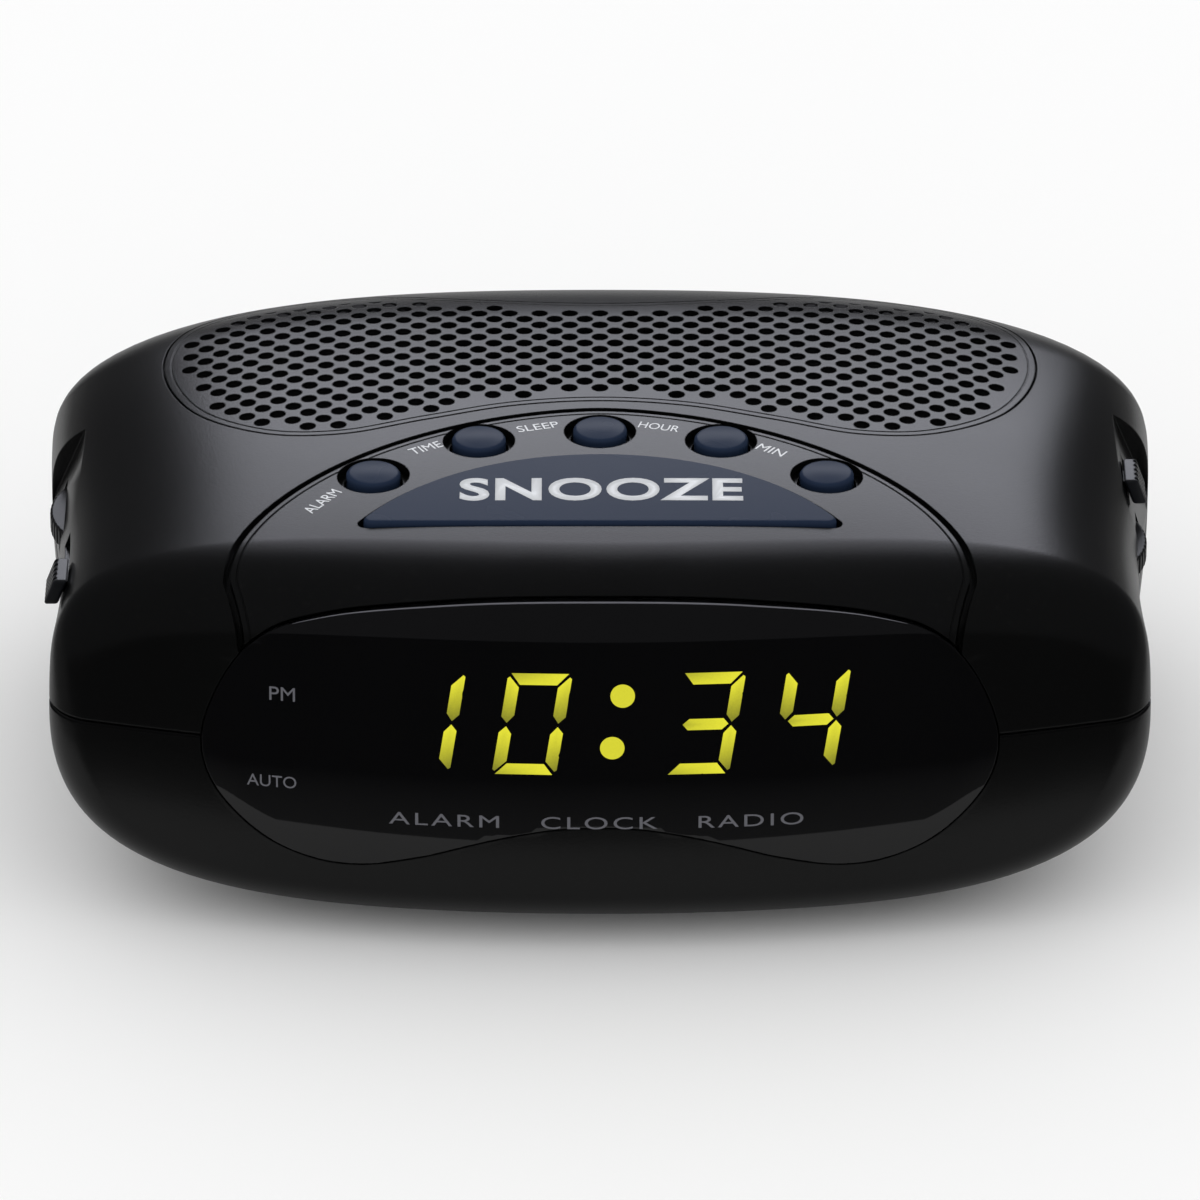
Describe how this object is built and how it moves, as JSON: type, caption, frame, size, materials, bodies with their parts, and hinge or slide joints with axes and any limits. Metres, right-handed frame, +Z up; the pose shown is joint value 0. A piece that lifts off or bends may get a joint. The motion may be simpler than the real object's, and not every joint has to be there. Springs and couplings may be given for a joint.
{
  "type": "clock radio",
  "caption": "Low, wide mains clock radio: waisted rounded case, curved gloss display window, arched panel of round keys and a broad snooze bar, perforated speaker grille, side controls.",
  "frame": {"origin": "on the surface it stands on, under the middle of the case", "axes": "+Z up, -Y out of the front, +X to the right seen from the front"},
  "size_m": [0.1816, 0.1249, 0.0639],
  "materials": {
    "case_black": "satin, fine moulded grain",
    "panel_grey": "satin, fine moulded grain",
    "lens_black": "polished, near-black smoked acrylic",
    "key_blue": "satin slate blue",
    "control_dark": "satin black, notched rim",
    "knob_grey": "satin blue-grey",
    "rubber_black": "matt",
    "screw_steel": "zinc plated",
    "circuit_board": "phenolic paper board",
    "component_black": "moulded component body",
    "core_steel": "rolled steel sheet",
    "copper_winding": "enamelled copper wire",
    "ferrite_grey": "sintered ferrite",
    "cone_paper": "pressed paper pulp",
    "battery_jacket": "printed steel jacket, plain",
    "legend_white": "pad-printed ink",
    "legend_grey": "printed ink",
    "led_glow": "lit display segments"
  },
  "bodies": {
    "case": {"top_shell": "case_black", "base_shell": "case_black", "speaker_grille": "panel_grey", "control_panel": "panel_grey", "display_lens": "lens_black", "cable_gland": "rubber_black", "foot_1": "rubber_black", "foot_2": "rubber_black", "foot_3": "rubber_black", "foot_4": "rubber_black", "case_screw_1": "screw_steel", "case_screw_2": "screw_steel", "case_screw_3": "screw_steel", "case_screw_4": "screw_steel", "key_board": "circuit_board", "alarm_switch": "component_black", "time_switch": "component_black", "sleep_switch": "component_black", "hour_switch": "component_black", "minute_switch": "component_black", "snooze_switch": "component_black", "led_display": "component_black", "display_board": "circuit_board", "main_board": "circuit_board", "clock_chip": "component_black", "smoothing_capacitor": "component_black", "transformer_core": "core_steel", "transformer_winding": "copper_winding", "speaker_frame": "core_steel", "speaker_cone": "cone_paper", "speaker_magnet": "ferrite_grey", "ferrite_rod": "ferrite_grey", "antenna_coil": "copper_winding", "backup_battery": "battery_jacket", "battery_clip": "component_black", "tuning_capacitor": "component_black", "volume_control": "component_black", "band_switch": "component_black", "function_switch": "component_black"},
    "snooze": {"snooze_bar": "key_blue"},
    "alarm_key": {"alarm_button": "key_blue"},
    "time_key": {"time_button": "key_blue"},
    "sleep_key": {"sleep_button": "key_blue"},
    "hour_key": {"hour_button": "key_blue"},
    "minute_key": {"minute_button": "key_blue"},
    "tuning": {"tuning_wheel": "control_dark"},
    "volume": {"volume_wheel": "control_dark"},
    "band": {"band_knob": "knob_grey"},
    "function": {"function_knob": "knob_grey"},
    "door": {"battery_door": "case_black"}
  },
  "joints": [
    {"name": "snooze_press", "type": "slide", "parent": "case", "child": "snooze", "axis": [0, 0, -1], "range_m": [0, 0.0015], "stiffness_N_per_m": 700, "springref_m": -0.0006},
    {"name": "alarm_press", "type": "slide", "parent": "case", "child": "alarm_key", "axis": [0, 0, -1], "range_m": [0, 0.0012], "stiffness_N_per_m": 600, "springref_m": -0.0006},
    {"name": "time_press", "type": "slide", "parent": "case", "child": "time_key", "axis": [0, 0, -1], "range_m": [0, 0.0012], "stiffness_N_per_m": 600, "springref_m": -0.0006},
    {"name": "sleep_press", "type": "slide", "parent": "case", "child": "sleep_key", "axis": [0, 0, -1], "range_m": [0, 0.0012], "stiffness_N_per_m": 600, "springref_m": -0.0006},
    {"name": "hour_press", "type": "slide", "parent": "case", "child": "hour_key", "axis": [0, 0, -1], "range_m": [0, 0.0012], "stiffness_N_per_m": 600, "springref_m": -0.0006},
    {"name": "minute_press", "type": "slide", "parent": "case", "child": "minute_key", "axis": [0, 0, -1], "range_m": [0, 0.0012], "stiffness_N_per_m": 600, "springref_m": -0.0006},
    {"name": "tuning_turn", "type": "hinge", "parent": "case", "child": "tuning", "pos_m": [0.07407, -0.005, 0.0432], "axis": [0, 0, 1], "range_deg": [-135, 135]},
    {"name": "volume_turn", "type": "hinge", "parent": "case", "child": "volume", "pos_m": [-0.07499, 0.005, 0.0432], "axis": [0, 0, 1], "range_deg": [0, 270]},
    {"name": "band_slide", "type": "slide", "parent": "case", "child": "band", "axis": [0, 1, 0], "range_m": [0, 0.004]},
    {"name": "function_slide", "type": "slide", "parent": "case", "child": "function", "axis": [0, 1, 0], "range_m": [0, 0.012]},
    {"name": "battery_door_hinge", "type": "hinge", "parent": "case", "child": "door", "pos_m": [-0.025, 0.00505, 0.0034], "axis": [1, 0, 0], "range_deg": [0, 85]}
  ]
}
